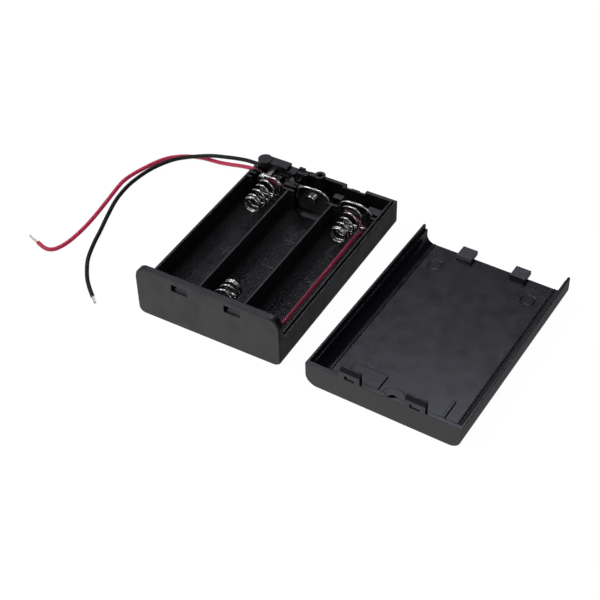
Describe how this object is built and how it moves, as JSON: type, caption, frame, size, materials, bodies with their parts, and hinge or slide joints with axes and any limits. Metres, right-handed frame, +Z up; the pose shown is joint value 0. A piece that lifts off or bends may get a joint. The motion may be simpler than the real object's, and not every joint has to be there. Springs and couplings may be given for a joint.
{
  "type": "cylindrical cell holder",
  "caption": "Open battery tray for cylindrical cells with coil spring contacts, a hooked flange, a slide switch, two leads and a loose clip-on cover.",
  "frame": {"origin": "middle of the tray's underside, on the surface that it lies on", "axes": "+X across the cells, away from the leads and towards the cover as it lies; +Y from the flange to the switch end; +Z up, out of the tray's open side"},
  "size_m": [0.156, 0.0754, 0.0172],
  "materials": {
    "tray_plastic": "satin, fine moulded texture",
    "cover_plastic": "satin inside, moulded",
    "switch_plastic": "satin",
    "spring_wire": "bright nickel plate",
    "contact_plate": "bright nickel plate",
    "terminal_strip": "tinned",
    "switch_spring": "plain",
    "solder": "bright solder",
    "red_sleeve": "soft extruded sleeve",
    "black_sleeve": "soft extruded sleeve",
    "tinned_strands": "tinned copper strands"
  },
  "bodies": {
    "tray": {"case_base": "tray_plastic", "negative_spring": "spring_wire", "far_link_wire": "spring_wire", "near_link_wire": "spring_wire", "far_positive_plate": "contact_plate", "near_positive_plate": "contact_plate", "red_positive_plate": "contact_plate", "spring_terminal": "terminal_strip", "lead_terminal": "terminal_strip", "switch_retainer": "switch_plastic", "solder_on_spring": "solder", "solder_on_lug": "solder", "solder_on_terminal": "solder", "red_lead": "red_sleeve", "black_lead": "black_sleeve", "red_lead_tip": "tinned_strands", "black_lead_tip": "tinned_strands", "red_lead_inner": "red_sleeve", "black_lead_inner": "black_sleeve"},
    "slider": {"switch_slider": "switch_plastic", "switch_bridge": "switch_spring"},
    "cover": {"cover": "cover_plastic"}
  },
  "joints": [
    {"name": "switch_slide", "type": "slide", "parent": "tray", "child": "slider", "axis": [1, 0, 0], "range_m": [0, 0.003]},
    {"name": "cover_lift", "type": "slide", "parent": "tray", "child": "cover", "axis": [0, 0, 1], "range_m": [0, 0.03]}
  ]
}
